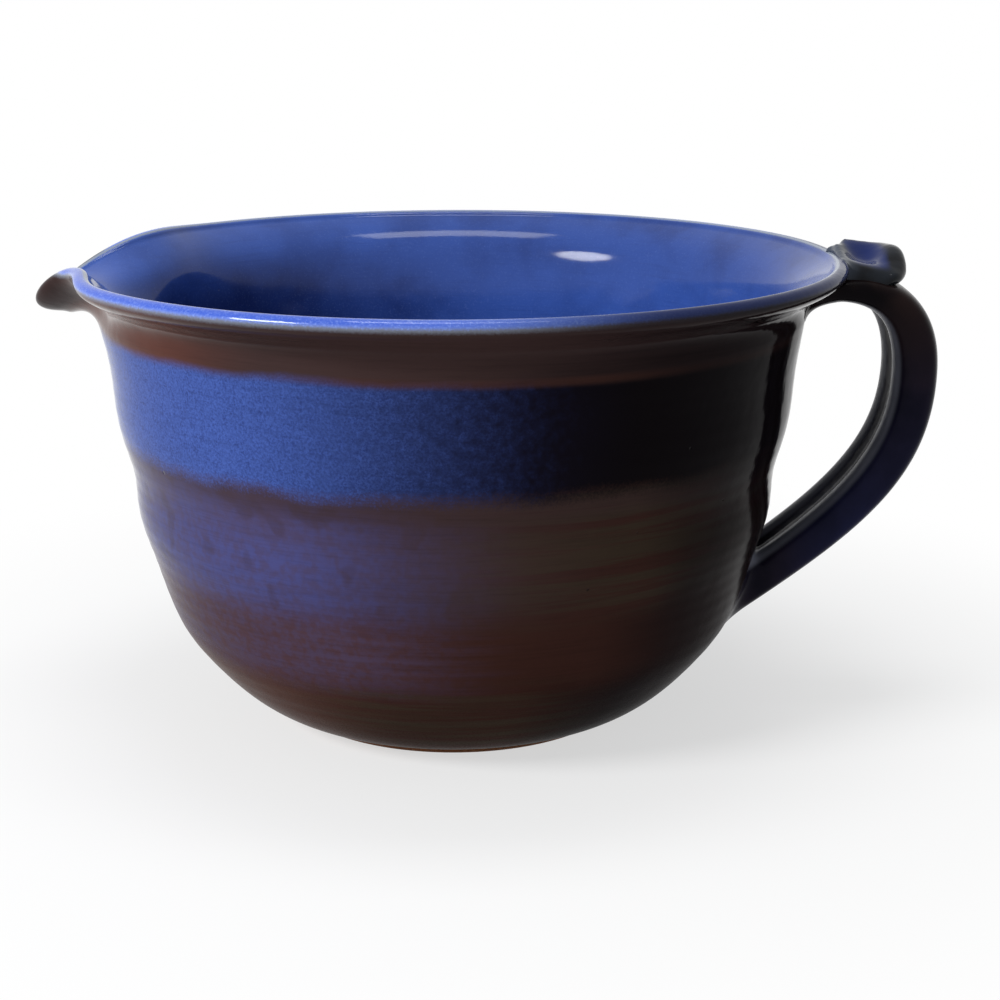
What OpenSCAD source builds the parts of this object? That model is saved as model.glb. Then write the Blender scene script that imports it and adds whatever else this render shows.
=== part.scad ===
// Batter bowl of wheel-thrown stoneware, in millimetres.
// The origin is the centre of the foot's resting face and +Z is up.
// The strap handle stands on +X and the pouring spout is pulled out towards -X.

/* [Bowl] */
// Height from the table to the top of the rim
bowl_h = 124.5; // [110:0.5:150]
// Radius of the rim over its rolled lip
rim_r = 105; // [98:0.5:125]
// How far the neck under the rim lies inside the rim's radius
neck_in = 11; // [8:0.5:14]
// Drop from the rim to the neck
neck_drop = 14.5; // [12:0.5:20]
// Height over which the belly rounds out from the foot
belly_h = 70; // [55:1:85]
// Width that the round of the belly adds to the foot's radius
belly_w = 33; // [28:0.5:36]
// Thickness of the wall near the rim
wall_t = 5; // [4:0.25:6.5]
// Thickness of the floor
floor_t = 7; // [5:0.5:10]
// Depth of the deepest throwing mark
mark_depth = 1.2; // [0:0.1:1.6]
// Height of one throwing mark
mark_h = 8; // [5:0.5:12]

/* [Rim] */
// Radius of the rolled lip's round
lip_r = 2.4; // [1.8:0.1:3]

/* [Foot] */
// Outer radius of the foot ring
foot_r = 46.5; // [42:0.5:50]
// Width of the foot ring's resting face and bevels
foot_w = 9; // [6:0.5:14]
// Height of the foot ring
foot_h = 2; // [1.5:0.1:3.5]
// Bevel on both lower edges of the foot ring
foot_bevel = 0.6; // [0.2:0.1:0.8]

/* [Spout] */
// Angle by which the lip leans out at the spout's tip
spout_tilt = 46; // [36:1:52]
// Angle round the bowl over which the spout opens, each side
spout_half = 14.2; // [10:0.2:18]
// Turn of the spout from the line of the handle
spout_turn = -4.5; // [-8:0.5:8]
// Height of rim that bends out to make the spout
spout_drop = 19; // [14:0.5:22]
// Angle by which the spout's shoulders lean in
pinch_tilt = 10.5; // [4:0.5:16]
// How far the spout's flanks are drawn in
spout_draw = 2; // [0:0.25:4]
// Clay left under the spout where the neck runs out into it
spout_fill = 5.2; // [0:0.2:6]

/* [Handle] */
// Reach of the handle's outer face beyond the rim
handle_reach = 25.1; // [20:0.1:40]
// Width of the strap in the hand
handle_w = 27; // [16:0.5:30]
// Thickness of the strap in the hand
handle_t = 12.9; // [10:0.1:15]
// Depth of the strap's upper end below the rim, to its middle
handle_top_drop = 10; // [9.5:0.25:12]
// Depth of the strap's widest point below the rim
handle_mid_drop = 30; // [26:0.5:36]
// Height of the strap's lower end above the table, inside the wall
handle_low_h = 29; // [24:0.5:40]
// Width that the strap gains at its upper end
top_spread = 3; // [3:0.5:10]
// Width that the strap gains at its lower end
low_spread = 0.5; // [0:0.5:8]
// Depth of the long groove down the inner face
groove_d = 2; // [0.2:0.1:2.4]

/* [Thumb rest] */
// Length of the thumb rest from the rim to its nose
thumb_l = 16; // [14:0.5:18]
// Width of the thumb rest
thumb_w = 24.5; // [20:0.5:26]
// Height of the thumb rest's middle above the rim
thumb_rise = 1.75; // [0.5:0.25:3]
// Depth of the dish under its raised edges
dish_d = 2.5; // [1.5:0.25:3]
// Radius of the rolled nose
nose_r = 3.2; // [2.6:0.1:3.6]
// Fall of the thumb rest's top towards its nose
thumb_fall = 9.5; // [6:0.5:12]
// Roll of the thumb rest towards one side
thumb_roll = 12; // [4:0.5:13]
// Extra fall on the low side, and less fall on the high side
thumb_twist = 2; // [0:0.5:4]

/* [Joints] */
// Reach of the smoothed clay along the strap at the upper end
upper_fillet = 12.5; // [6:0.5:13]
// Reach of the smoothed clay along the strap at the lower end
lower_fillet = 6; // [3:0.25:7]

/* [Hidden] */

outer_clay = "#3a2a2c";
blue_glaze = "#2c3f96";
bare_clay = "#8a5a3c";
handle_glaze = "#17171c";

// Steps round the bowl and along its wall, and the share by which steps crowd to the spout
round_n = 84;
wall_n = 12;
flare_n = 7;
throat_n = 4;
lip_n = 7;
crowd_share = 0.55;

// Shape of the belly's round: fuller with a smaller second share
belly_power_share = 2.3;
belly_full_share = 0.58;
// Throwing marks: height as a share of the bowl, and depth as a share of the deepest
mark_shares = [[0.21, 0.75], [0.37, -0.5], [0.55, -1.1], [0.68, 0.3], [0.78, -0.2]];

neck_r = rim_r - neck_in;
neck_z = bowl_h - neck_drop;
lip_c = rim_r - lip_r;
lip_z = bowl_h - lip_r;
wall_slope = (neck_r - foot_r - belly_w) / (neck_z - foot_h);

// The lip's round starts here, seen from its middle, and ends inside the bowl
lip_start = -75;
lip_end = 155;
flare_top_z = lip_z + lip_r * sin(lip_start);
flare_top_r = lip_c + lip_r * cos(lip_start);
flare_power_share = 3;
throat_top_z = lip_z + lip_r * sin(lip_end);
throat_top_r = lip_c + lip_r * cos(lip_end);
throat_power_share = 2.2;

floor_z = foot_h + floor_t;
inner_base_w = wall_t + floor_t;
floor_dish = floor_t / 16;

function smooth(t) = let (c = min(max(t, 0), 1)) c * c * (3 - 2 * c);
function bump(t) = exp(-t * t);
function mix(a, b, t) = a + (b - a) * t;
function belly_share(u) = pow(1 - pow(1 - min(max(u, 0), 1), belly_power_share), belly_full_share);
function marks(z) = mark_depth
    * sum([for (m = mark_shares) m[1] * bump((z - m[0] * bowl_h) / mark_h)]);
function sum(v, i = 0) = i < len(v) - 1 ? v[i] + sum(v, i + 1) : v[i];

// Radius of the outer wall, then of the whole outside up to the lip's widest place
function wall_r(z) = foot_r + belly_w * belly_share((z - foot_h) / belly_h)
    + wall_slope * (z - foot_h) + marks(z);
function flare_r(z) = let (t = (z - neck_z) / (flare_top_z - neck_z))
    mix(wall_r(neck_z), flare_top_r, pow(t, flare_power_share));
function lip_face_r(z) = lip_c + sqrt(max(lip_r * lip_r - pow(z - lip_z, 2), 0));
function outer_r(z) = z <= neck_z ? wall_r(z) : z <= flare_top_z ? flare_r(z)
    : z <= lip_z ? lip_face_r(z) : rim_r;

// Radius of the inner wall, from the floor up to the neck, then of the throat
function inner_wall_r(z) = foot_r - inner_base_w
    + (belly_w + inner_base_w - wall_t) * belly_share((z - floor_z) / (belly_h - floor_t))
    + wall_slope * (z - foot_h) + marks(z);
function throat_r(z) = let (t = (z - neck_z) / (throat_top_z - neck_z))
    mix(inner_wall_r(neck_z), throat_top_r, pow(t, throat_power_share));

// Steps up a wall crowd towards its foot, where it curves most
wall_step_share = 1.7;
function climb(z0, z1, k, n) = z0 + (z1 - z0) * pow(k / n, wall_step_share);

// The bowl's section, from under the floor, up the outside, over the lip and down inside
outer_section = concat(
    [for (k = [0 : wall_n]) let (z = climb(foot_h, neck_z, k, wall_n)) [wall_r(z), z]],
    [for (k = [1 : flare_n]) let (z = mix(neck_z, flare_top_z, k / flare_n)) [flare_r(z), z]]
);
inner_section = concat(
    [for (k = [1 : lip_n]) let (a = mix(lip_start, lip_end, k / lip_n))
        [lip_c + lip_r * cos(a), lip_z + lip_r * sin(a)]],
    [for (k = [throat_n - 1 : -1 : 0]) let (z = mix(neck_z, throat_top_z, k / throat_n)) [throat_r(z), z]],
    [for (k = [wall_n - 1 : -1 : 0]) let (z = climb(floor_z, neck_z, k, wall_n)) [inner_wall_r(z), z]]
);

// The spout: the top of the wall turns out about a pivot in the neck
spout_pivot = [neck_r, bowl_h - spout_drop];
spout_soft = spout_drop * 5 / 9;
shoulder_share = 1.62;
shoulder_soft_share = 0.6;
flank_share = 1;
fill_share = 0.4;
fill_low = neck_drop / 2;
fill_high = neck_drop / 2.6;
function lean(phi) = spout_tilt * bump(phi / spout_half)
    - pinch_tilt * bump((abs(phi) - shoulder_share * spout_half) / (shoulder_soft_share * spout_half));
function draw_in(phi) = spout_draw * bump((abs(phi) - flank_share * spout_half) / (spout_half * 2 / 3));
function fill(p, phi) = let (up = p[1] - mix(neck_z, flare_top_z, fill_share))
    [spout_fill * bump(phi / spout_half) * bump(up / (up < 0 ? fill_low : fill_high)), 0];
function spout_bend(p, phi) = let (
    w = smooth((p[1] - spout_pivot[1]) / spout_soft),
    b = lean(phi) * w,
    v = p - spout_pivot
) [
    spout_pivot[0] + v[0] * cos(b) + v[1] * sin(b) - draw_in(phi) * w,
    spout_pivot[1] - v[0] * sin(b) + v[1] * cos(b)
];

function around(i) = let (a = 360 * i / round_n) a - crowd_share * 180 / PI * sin(a);
function bowl_point(p, phi) = let (q = spout_bend(p, phi), a = 180 + spout_turn + phi)
    [q[0] * cos(a), q[0] * sin(a), q[1]];
function turned(phi) = phi > 180 ? phi - 360 : phi;

// Faces between rings of n points each, and fans that close the two ends
// With wrap the last ring joins the first, and with flip the faces look the other way
function skin(rings, n, wrap = false, flip = false) = [
    for (i = [0 : rings - (wrap ? 1 : 2)], j = [0 : n - 1]) let (
        i2 = (i + 1) % rings, j2 = (j + 1) % n,
        a = i * n + j, b = i * n + j2, c = i2 * n + j, d = i2 * n + j2
    ) each flip ? [[a, b, d], [a, d, c]] : [[a, d, b], [a, c, d]]];
function fan(tip, first, n, flip) = [for (j = [0 : n - 1])
    let (a = first + j, b = first + (j + 1) % n) flip ? [tip, b, a] : [tip, a, b]];

module bowl_body() {
    rings = len(outer_section) + len(inner_section);
    turns = [for (i = [0 : round_n - 1]) turned(around(i))];
    points = concat(
        [for (p = outer_section, phi = turns) bowl_point(p + fill(p, phi), phi)],
        [for (p = inner_section, phi = turns) bowl_point(p, phi)],
        [[0, 0, foot_h], [0, 0, floor_z - floor_dish]]
    );
    count = rings * round_n;
    color(outer_clay)
        polyhedron(points, concat(
            skin(rings, round_n),
            fan(count, 0, round_n, false),
            fan(count + 1, count - round_n, round_n, true)
        ), convexity = 4);
}

module foot_ring() {
    color(bare_clay)
        rotate_extrude($fn = 96)
            polygon([
                [foot_r - foot_w, foot_bevel],
                [foot_r - foot_w + foot_bevel, 0],
                [foot_r - foot_bevel, 0],
                [foot_r, foot_bevel],
                [foot_r, foot_h],
                [foot_r - foot_w, foot_h]
            ]);
}

// The strap's middle line: two curves that meet at its widest point, in the plane y = 0
strap_x = rim_r + handle_reach - handle_t / 2;
top_z = bowl_h - handle_top_drop;
mid_z = bowl_h - handle_mid_drop;
strap_start = [neck_r - wall_t, top_z];
strap_end = [wall_r(handle_low_h) - wall_t, handle_low_h];
// Pull of the four guide points, as shares of the run and fall of their own curve
rise_shares = [0.64, -0.3];
round_share = 0.95;
sweep_share = 0.41;
land_shares = [0.67, 0.37];
strap_guides = [
    strap_start,
    [mix(strap_start[0], strap_x, rise_shares[0]), mix(top_z, mid_z, rise_shares[1])],
    [strap_x, mix(mid_z, top_z, round_share)],
    [strap_x, mid_z],
    [strap_x, mix(mid_z, handle_low_h, sweep_share)],
    [mix(strap_end[0], strap_x, land_shares[0]), mix(handle_low_h, mid_z, land_shares[1])],
    strap_end
];

function bezier(g, k, t) = pow(1 - t, 3) * g[k] + 3 * t * pow(1 - t, 2) * g[k + 1]
    + 3 * t * t * (1 - t) * g[k + 2] + pow(t, 3) * g[k + 3];
function bezier_way(g, k, t) = pow(1 - t, 2) * (g[k + 1] - g[k])
    + 2 * t * (1 - t) * (g[k + 2] - g[k + 1]) + t * t * (g[k + 3] - g[k + 2]);
function strap_mid(s) = s < 1 ? bezier(strap_guides, 0, s) : bezier(strap_guides, 3, s - 1);
function strap_run(s) = s < 1 ? bezier_way(strap_guides, 0, s) : bezier_way(strap_guides, 3, s - 1);
function strap_way(s) = strap_run(s) / norm(strap_run(s));
function strap_speed(s) = norm(strap_run(s)) * 3;

// The strap's section: a soft-cornered oblong with a groove in the inner face
corner_share = 3.4;
top_thin_share = 0.52;
thin_over_share = 0.95;
low_thin_share = 0.12;
groove_share = 0.2;
// Places along the strap, 0 at its upper end, 1 at its widest point and 2 at its lower end
spread_until = 0.9;
spread_from = 1.3;
low_thin_from = 1.2;
top_clear = 0.62;
low_clear = 1.5;
function strap_w(s) = handle_w + top_spread * (1 - smooth(s / spread_until))
    + low_spread * smooth((s - spread_from) / (2 - spread_from));
function strap_t(s) = handle_t * (1 - top_thin_share * (1 - smooth(s / thin_over_share))
    - low_thin_share * smooth((s - low_thin_from) / (2 - low_thin_from)));
function soft(v) = sign(v) * pow(abs(v), 2 / corner_share);
function strap_point(s, a) = let (
    m = strap_mid(s),
    v = strap_way(s),
    y = -strap_w(s) / 2 * soft(sin(a)),
    g = cos(a) < 0 ? groove_d * bump(y / (groove_share * strap_w(s))) : 0,
    n = strap_t(s) / 2 * soft(cos(a)) + g
) [m[0] - v[1] * n, y, m[1] + v[0] * n];

// Where a long line of the strap passes through the bowl's outside
function beyond(p) = norm([p[0], p[1]]) - outer_r(p[2]);
function meet(a, inside, outside, n = 18) = let (s = (inside + outside) / 2)
    n == 0 ? s : beyond(strap_point(s, a)) > 0 ? meet(a, inside, s, n - 1) : meet(a, s, outside, n - 1);

strap_n = 24;
strap_rings = 34;
strap_top = [for (j = [0 : strap_n - 1]) meet(360 * j / strap_n, 0, top_clear)];
strap_low = [for (j = [0 : strap_n - 1]) meet(360 * j / strap_n, 2, low_clear)];

// A point of the bowl's outside at a given place across and up, on the handle's side
function on_bowl(y, z, gap = 0) = [sqrt(max(pow(outer_r(z) + gap, 2) - y * y, 0)), y, z];
function shrink(ring, k) = let (c = sum(ring) / len(ring))
    [for (p = ring) let (q = mix(c, p, k)) on_bowl(q[1], q[2])];
cap_shares = [0.66, 0.33];

module handle() {
    top_ring = [for (j = [0 : strap_n - 1]) strap_point(strap_top[j], 360 * j / strap_n)];
    low_ring = [for (j = [0 : strap_n - 1]) strap_point(strap_low[j], 360 * j / strap_n)];
    rings = concat(
        [shrink(top_ring, cap_shares[1]), shrink(top_ring, cap_shares[0])],
        [for (i = [0 : strap_rings - 1]) [for (j = [0 : strap_n - 1])
            strap_point(mix(strap_top[j], strap_low[j], i / (strap_rings - 1)), 360 * j / strap_n)]],
        [shrink(low_ring, cap_shares[0]), shrink(low_ring, cap_shares[1])]
    );
    count = len(rings) * strap_n;
    color(handle_glaze)
        polyhedron(
            concat([for (r = rings) each r], [shrink(top_ring, 0)[0], shrink(low_ring, 0)[0]]),
            concat(
                skin(len(rings), strap_n),
                fan(count, 0, strap_n, false),
                fan(count + 1, count - strap_n, strap_n, true)
            ), convexity = 6);
}

// The thumb rest: a dish on the strap's top that ends in a rolled nose
thumb_cols = 14;
thumb_rows = 6;
nose_n = 7;
front_n = 3;
ridge_share = 0.74;
edge_share = 0.1;
open_share = 0.5;
top_step_share = 1.4;
nose_x = rim_r + thumb_l - nose_r;
front_a = 85;
front_x = lip_c + lip_r * cos(front_a);
dish_from_share = 0.4;
nose_from = -75;
nose_lift_share = 1.15;
lift_width_share = 0.95;
edge_skin = handle_t / 20;

// A point of the strap's outer face, y across from its middle line
function strap_top_at(s, y) = let (
    m = strap_mid(s),
    v = strap_way(s),
    u = min(abs(2 * y / strap_w(s)), 1),
    n = strap_t(s) / 2 * pow(1 - pow(u, corner_share), 1 / corner_share)
) [m[0] - v[1] * n, y, m[1] + v[0] * n];
function meet_top(y, inside, outside, n = 18) = let (s = (inside + outside) / 2)
    n == 0 ? s : beyond(strap_top_at(s, y)) > 0 ? meet_top(y, inside, s, n - 1)
    : meet_top(y, s, outside, n - 1);
function reach_x(x, y, near, far, n = 18) = let (s = (near + far) / 2)
    n == 0 ? s : strap_top_at(s, y)[0] < x ? reach_x(x, y, s, far, n - 1) : reach_x(x, y, near, s, n - 1);

function lip_top_z(r) = r < rim_r ? lip_z + sqrt(max(lip_r * lip_r - pow(r - lip_c, 2), 0)) : 0;
// The nose draws back and thins towards both sides
nose_back_share = 0.8;
nose_back_power = 4;
nose_thin_share = 0.3;
function nose_at(v) = nose_x - nose_r * nose_back_share * pow(v, nose_back_power);
function nose_round(v) = nose_r * (1 - nose_thin_share * v * v);
function thumb_top(x, v) = let (
    along = (x - front_x) / (nose_x - front_x),
    closing = smooth((along - open_share) / (1 - open_share)),
    lift = nose_lift_share * (1 - smooth(abs(v) / lift_width_share)),
    dish = (1 - smooth(abs(v) / ridge_share)) * (1 - closing) * smooth(along / dish_from_share)
) bowl_h + thumb_rise - (x - front_x) * tan(thumb_fall - thumb_twist * v)
    + v * thumb_w / 2 * tan(thumb_roll) + dish_d * (lift * closing - dish);
// Past its ridge the top falls in a round to the strap's face
function edge_fall(v) = let (u = max(abs(v) - ridge_share, 0) / (1 - ridge_share))
    mix(edge_share, 1, sqrt(max(1 - u * u, 0)));

function thumb_column(v) = let (
    y = v * thumb_w / 2,
    start = meet_top(y, 0, top_clear),
    nx = nose_at(v),
    stop = reach_x(nx - nose_round(v) / 2, y, start, 1),
    fall = edge_fall(v),
    seat = [for (k = [0 : thumb_rows]) strap_top_at(mix(start, stop, k / thumb_rows), y)],
    room = (thumb_top(nx, v) - strap_top_at(reach_x(nx, y, start, 1), y)[2]) / 2,
    nr = max(min(nose_round(v), room) * fall, edge_skin),
    nz = mix(seat[thumb_rows][2] + edge_skin + nr, thumb_top(nx, v) - nr, fall),
    nose = [for (k = [0 : nose_n]) let (a = mix(nose_from, 90, k / nose_n))
        [nx + nr * cos(a), y, nz + nr * sin(a)]],
    top = [for (k = [1 : thumb_rows - 1]) let (
        x = mix(front_x, nx, pow(1 - k / thumb_rows, top_step_share)),
        low = max(strap_top_at(reach_x(x, y, 0, 1), y)[2], lip_top_z(norm([x, y]))) + edge_skin
    ) [x, y, max(mix(low, thumb_top(x, v), fall), low)]],
    lean_z = mix(seat[0][2] + edge_skin, lip_z + lip_r * sin(front_a), fall),
    front = [for (k = [0 : front_n]) let (
        z = mix(lean_z, seat[0][2], k / (front_n + 1)),
        r = z > flare_top_z ? lip_face_r(z) : outer_r(z)
    ) [sqrt(r * r - y * y), y, z]]
) concat(seat, nose, top, front);

// Side caps of a long thin loop of n points
function zip(first, n, flip) = [for (k = [0 : floor(n / 2) - 2])
    let (a = first + k, b = first + n - 1 - k)
    each flip ? [[a, a + 1, b], [a + 1, b - 1, b]] : [[a, b, a + 1], [a + 1, b, b - 1]]];

module thumb_rest() {
    cols = [for (j = [0 : thumb_cols]) thumb_column(mix(-1, 1, j / thumb_cols))];
    n = len(cols[0]);
    color(blue_glaze)
        polyhedron(
            [for (c = cols) each c],
            concat(skin(len(cols), n, flip = true), zip(0, n, false), zip(thumb_cols * n, n, true)),
            convexity = 6);
}

// Smoothed clay round a root of the strap: sections that run along the strap, out in a
// hollow curve, and back along the wall
fillet_n = 4;
seat_gap = wall_t / 40;
fillet_edge = wall_t / 12;
fillet_full_share = 0.25;
function fillet_section(s0, a, way, reach) = let (
    root = strap_point(s0, a),
    ds = way * reach / strap_speed(s0),
    middle = strap_mid(s0),
    out = [root[1], root[2] - middle[1]],
    down = out / norm(out) * reach,
    along = [for (k = [1 : fillet_n]) strap_point(s0 + ds * k / fillet_n, a)],
    wall = [for (k = [fillet_n : -1 : 1])
        on_bowl(root[1] + down[0] * k / fillet_n, root[2] + down[1] * k / fillet_n, seat_gap)],
    s = along[fillet_n - 1],
    w = wall[0],
    chord = (s - w) / norm(s - w),
    open = (s + w) / 2 - root,
    rise = open - (open * chord) * chord,
    edge = rise / norm(rise) * fillet_edge,
    pull = root + fillet_full_share * open,
    hollow = [for (k = [0 : fillet_n + 1]) let (t = k / (fillet_n + 1))
        pow(1 - t, 2) * s + 2 * t * (1 - t) * pull + t * t * w + edge]
) concat([root], along, hollow, wall);

// The upper joint runs round the under side, from one edge of the strap to the other
upper_n = 16;
upper_from = 80;
upper_edge_share = 0.25;
module upper_joint() {
    rows = [for (k = [0 : upper_n]) let (
        a = mix(upper_from, 360 - upper_from, k / upper_n),
        swell = mix(upper_edge_share, 1, sin(180 * k / upper_n))
    ) fillet_section(meet(a, 0, top_clear), a, 1, upper_fillet * swell)];
    n = len(rows[0]);
    color(handle_glaze)
        polyhedron(
            [for (r = rows) each r],
            concat(
                skin(len(rows), n),
                [for (k = [1 : n - 2]) [0, k, k + 1]],
                [for (k = [1 : n - 2]) let (f = upper_n * n) [f, f + k + 1, f + k]]
            ), convexity = 6);
}

module lower_joint() {
    rows = [for (j = [0 : strap_n - 1]) fillet_section(strap_low[j], 360 * j / strap_n, -1, lower_fillet)];
    n = len(rows[0]);
    color(outer_clay)
        polyhedron([for (r = rows) each r], skin(strap_n, n, wrap = true, flip = true), convexity = 6);
}

bowl_body();
foot_ring();
handle();
thumb_rest();
upper_joint();
lower_joint();
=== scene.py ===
"""Batter bowl: its look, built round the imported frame. Shapes are worked out in millimetres."""
import math

import bpy
import numpy as np
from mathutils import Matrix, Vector


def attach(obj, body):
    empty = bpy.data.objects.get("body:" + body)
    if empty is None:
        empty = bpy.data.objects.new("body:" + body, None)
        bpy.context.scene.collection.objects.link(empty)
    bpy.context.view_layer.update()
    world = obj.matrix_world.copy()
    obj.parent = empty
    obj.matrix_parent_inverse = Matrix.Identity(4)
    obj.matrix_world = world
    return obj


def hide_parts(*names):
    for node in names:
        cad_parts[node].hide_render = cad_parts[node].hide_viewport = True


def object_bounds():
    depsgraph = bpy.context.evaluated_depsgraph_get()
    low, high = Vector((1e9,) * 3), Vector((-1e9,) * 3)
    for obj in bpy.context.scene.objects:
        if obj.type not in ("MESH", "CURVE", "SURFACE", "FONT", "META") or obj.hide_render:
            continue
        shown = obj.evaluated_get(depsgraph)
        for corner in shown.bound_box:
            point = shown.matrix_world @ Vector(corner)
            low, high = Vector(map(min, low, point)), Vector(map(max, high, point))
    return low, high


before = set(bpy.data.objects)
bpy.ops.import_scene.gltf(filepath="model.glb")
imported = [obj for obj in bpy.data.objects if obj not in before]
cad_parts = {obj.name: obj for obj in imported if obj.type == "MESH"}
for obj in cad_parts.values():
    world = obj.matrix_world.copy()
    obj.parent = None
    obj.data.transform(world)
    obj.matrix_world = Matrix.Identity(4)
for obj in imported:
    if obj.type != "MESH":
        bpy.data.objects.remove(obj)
cad_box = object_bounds()

MM = 0.001
DEG = math.pi / 180

# The bowl's sizes, as in the part's source
BOWL_H, RIM_R, NECK_IN, NECK_DROP = 124.5, 105.0, 11.0, 14.5
BELLY_H, BELLY_W, WALL_T, FLOOR_T = 70.0, 33.0, 5.0, 7.0
MARK_DEPTH, MARK_H, LIP_R = 1.2, 8.0, 2.4
FOOT_R, FOOT_H = 46.5, 2.0
SPOUT_TILT, SPOUT_HALF, SPOUT_TURN, SPOUT_DROP = 46.0, 14.2, -4.5, 19.0
PINCH_TILT, SPOUT_DRAW, SPOUT_FILL = 10.5, 2.0, 5.2
HANDLE_REACH, HANDLE_W, HANDLE_T = 25.1, 27.0, 12.9
HANDLE_TOP_DROP, HANDLE_MID_DROP, HANDLE_LOW_H = 10.0, 30.0, 29.0
TOP_SPREAD, LOW_SPREAD, GROOVE_D = 3.0, 0.5, 2.0
THUMB_L, THUMB_W, THUMB_RISE, DISH_D, NOSE_R = 16.0, 24.5, 1.75, 2.5, 3.2
THUMB_FALL, THUMB_ROLL, THUMB_TWIST = 9.5, 12.0, 2.0
UPPER_FILLET, LOWER_FILLET = 12.5, 6.0

# How far the columns of the skin crowd together at the spout
CROWD = 0.55
# The throwing marks: height as a share of the bowl's, and strength
MARKS = ((0.21, 0.75), (0.37, -0.5), (0.55, -1.1), (0.68, 0.3), (0.78, -0.2))
NECK_R = RIM_R - NECK_IN
NECK_Z = BOWL_H - NECK_DROP
LIP_C, LIP_Z = RIM_R - LIP_R, BOWL_H - LIP_R
WALL_SLOPE = (NECK_R - FOOT_R - BELLY_W) / (NECK_Z - FOOT_H)
LIP_START, LIP_END = -75 * DEG, 155 * DEG
FLARE_R, FLARE_Z = LIP_C + LIP_R * math.cos(LIP_START), LIP_Z + LIP_R * math.sin(LIP_START)
THROAT_R, THROAT_Z = LIP_C + LIP_R * math.cos(LIP_END), LIP_Z + LIP_R * math.sin(LIP_END)
FLOOR_Z, INNER_BASE_W, FLOOR_DISH = FOOT_H + FLOOR_T, WALL_T + FLOOR_T, FLOOR_T / 16
SPOUT_PIVOT_Z = BOWL_H - SPOUT_DROP
# The spout's soft ends, and the clay that fills in under it
SPOUT_SOFT, FLANK_SOFT = SPOUT_DROP * 5 / 9, SPOUT_HALF * 2 / 3
SHOULDER_AT, SHOULDER_SOFT = 1.62 * SPOUT_HALF, 0.6 * SPOUT_HALF
FILL_SHARE, FILL_LOW, FILL_HIGH = 0.4, NECK_DROP / 2, NECK_DROP / 2.6
# The powers that shape the belly's round, the flare and the throat
BELLY_POWER, BELLY_FULL, FLARE_POWER, THROAT_POWER = 2.3, 0.58, 3, 2.2
# How far the rim's blue band reaches down from the crest of the lip
RIM_BAND = 3.5
# Millimetres that the rim is drawn in, and metres that the pieces keep clear of the CAD's box
DRAWN_IN, BOX_GAP = 0.1, 2e-5
# Halvings until a place along a line is found
HALVINGS = 22


def smooth(t):
    """0 to 1 with soft ends."""
    t = np.clip(t, 0, 1)
    return t * t * (3 - 2 * t)


def bump(t):
    """A bell, 1 in its middle."""
    return np.exp(-np.square(t))


def mix(a, b, t):
    return a + (b - a) * t


# The bowl's section and spout

def belly_share(u):
    return (1 - (1 - np.clip(u, 0, 1)) ** BELLY_POWER) ** BELLY_FULL


def marks(z):
    return MARK_DEPTH * sum(m[1] * bump((z - m[0] * BOWL_H) / MARK_H) for m in MARKS)


def wall_r(z):
    return FOOT_R + BELLY_W * belly_share((z - FOOT_H) / BELLY_H) + WALL_SLOPE * (z - FOOT_H) + marks(z)


def flare_r(z):
    return mix(wall_r(NECK_Z), FLARE_R, ((z - NECK_Z) / (FLARE_Z - NECK_Z)) ** FLARE_POWER)


def lip_face_r(z):
    return LIP_C + np.sqrt(np.maximum(LIP_R ** 2 - (z - LIP_Z) ** 2, 0))


def outer_r(z):
    z = np.asarray(z, float)
    flare = flare_r(np.clip(z, NECK_Z, FLARE_Z))
    lip = np.where(z <= LIP_Z, lip_face_r(z), RIM_R)
    return np.where(z <= NECK_Z, wall_r(np.clip(z, FOOT_H, NECK_Z)), np.where(z <= FLARE_Z, flare, lip))


def inner_wall_r(z):
    round_r = (BELLY_W + INNER_BASE_W - WALL_T) * belly_share((z - FLOOR_Z) / (BELLY_H - FLOOR_T))
    return FOOT_R - INNER_BASE_W + round_r + WALL_SLOPE * (z - FOOT_H) + marks(z)


def throat_r(z):
    return mix(inner_wall_r(NECK_Z), THROAT_R, ((z - NECK_Z) / (THROAT_Z - NECK_Z)) ** THROAT_POWER)


def lean(phi):
    """Degrees that the wall leans out at the spout, and in at its shoulders."""
    shoulder = (np.abs(phi) - SHOULDER_AT) / SHOULDER_SOFT
    return SPOUT_TILT * bump(phi / SPOUT_HALF) - PINCH_TILT * bump(shoulder)


def spout_bend(r, z, phi, outside):
    """Turns the top of the wall out to make the spout. outside is 1 on the outer face."""
    up = z - mix(NECK_Z, FLARE_Z, FILL_SHARE)
    reach = np.where(up < 0, FILL_LOW, FILL_HIGH)
    r = r + outside * SPOUT_FILL * bump(phi / SPOUT_HALF) * bump(up / reach)
    w = smooth((z - SPOUT_PIVOT_Z) / SPOUT_SOFT)
    b = lean(phi) * w * DEG
    draw = SPOUT_DRAW * bump((np.abs(phi) - SPOUT_HALF) / FLANK_SOFT) * w
    vr, vz = r - NECK_R, z - SPOUT_PIVOT_Z
    return NECK_R + vr * np.cos(b) + vz * np.sin(b) - draw, SPOUT_PIVOT_Z - vr * np.sin(b) + vz * np.cos(b)


# Mesh helpers

def in_box(points):
    """Metres, held just inside the CAD's box."""
    low, high = np.array(cad_box[0]), np.array(cad_box[1])
    return np.clip(points, low + (BOX_GAP, BOX_GAP, 0), high - BOX_GAP)


def mark_points(mesh, key, values):
    mesh.attributes.new(key, "FLOAT", "POINT").data.foreach_set("value", np.asarray(values, np.float32))


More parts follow.
